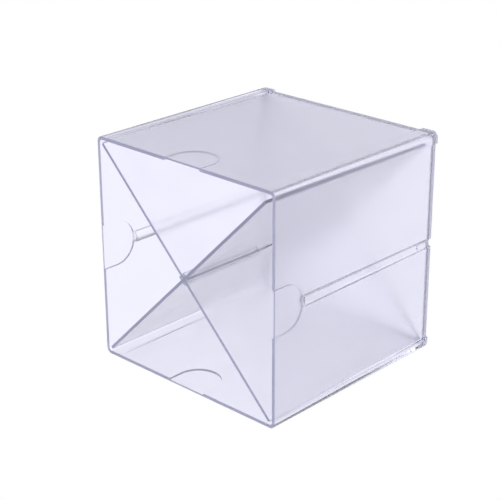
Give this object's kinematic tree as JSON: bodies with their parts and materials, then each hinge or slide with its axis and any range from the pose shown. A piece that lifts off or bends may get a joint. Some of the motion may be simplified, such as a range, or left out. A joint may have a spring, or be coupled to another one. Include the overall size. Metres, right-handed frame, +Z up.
{
  "type": "stackable cube organiser with crossed dividers",
  "caption": "Open-fronted clear plastic cube organiser with removable crossed dividers that make triangular compartments, stackable on any side.",
  "frame": {"origin": "middle of the footprint, on the surface the box stands on", "axes": "+X across the box, +Y from the open front to the back, +Z up"},
  "size_m": [0.1524, 0.1524, 0.1524],
  "materials": {
    "clear_shell": "translucent clear plastic with a faint cool tint, bright moulded edges",
    "clear_sheet": "translucent clear plastic sheet with a faint cool tint and cut edges"
  },
  "bodies": {
    "shell": {"cube_shell": "clear_shell"},
    "falling": {"divider_falling": "clear_sheet"},
    "rising": {"divider_rising": "clear_sheet"}
  },
  "joints": [
    {"name": "falling_slide", "type": "slide", "parent": "shell", "child": "falling", "axis": [0, -1, 0], "range_m": [0, 0.16]},
    {"name": "rising_slide", "type": "slide", "parent": "falling", "child": "rising", "axis": [0, -1, 0], "range_m": [0, 0.16]}
  ]
}
